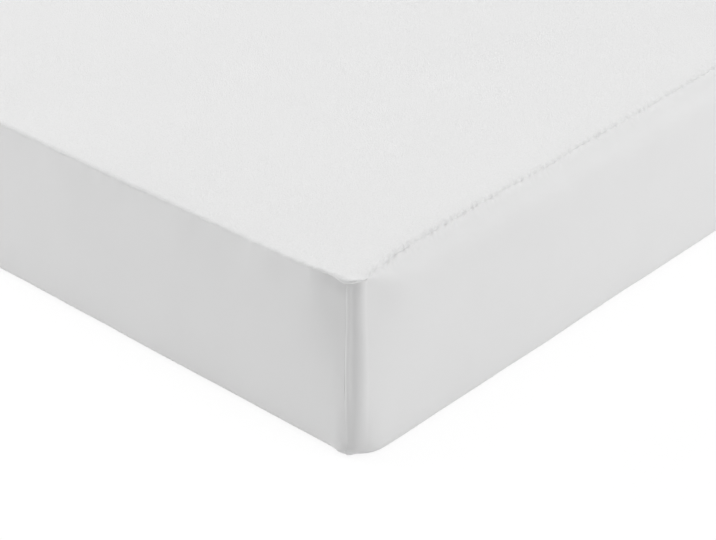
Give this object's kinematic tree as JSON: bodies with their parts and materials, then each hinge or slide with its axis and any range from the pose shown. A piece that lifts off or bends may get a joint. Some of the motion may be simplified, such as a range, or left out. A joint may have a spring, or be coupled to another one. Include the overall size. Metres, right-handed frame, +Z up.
{
  "type": "waterproof mattress protector on a mattress",
  "caption": "Fitted white protector with a towelling top panel and a smooth stretch skirt that turns under, over a single mattress lying flat.",
  "frame": {"origin": "middle of the underside, on the surface that the mattress lies on", "axes": "+X to the right, +Y towards the head of the bed, +Z up"},
  "size_m": [0.9068, 1.9092, 0.2065],
  "materials": {
    "towelling": "white cotton towelling, matt, with short dense loops",
    "stretch_knit": "smooth white stretch jersey, close knit, matt with a faint sheen",
    "ticking": "plain woven mattress ticking, matt"
  },
  "bodies": {
    "root": {"mattress": "ticking", "top_panel": "towelling", "skirt_foot": "stretch_knit", "skirt_right": "stretch_knit", "skirt_head": "stretch_knit", "skirt_left": "stretch_knit"}
  },
  "joints": []
}
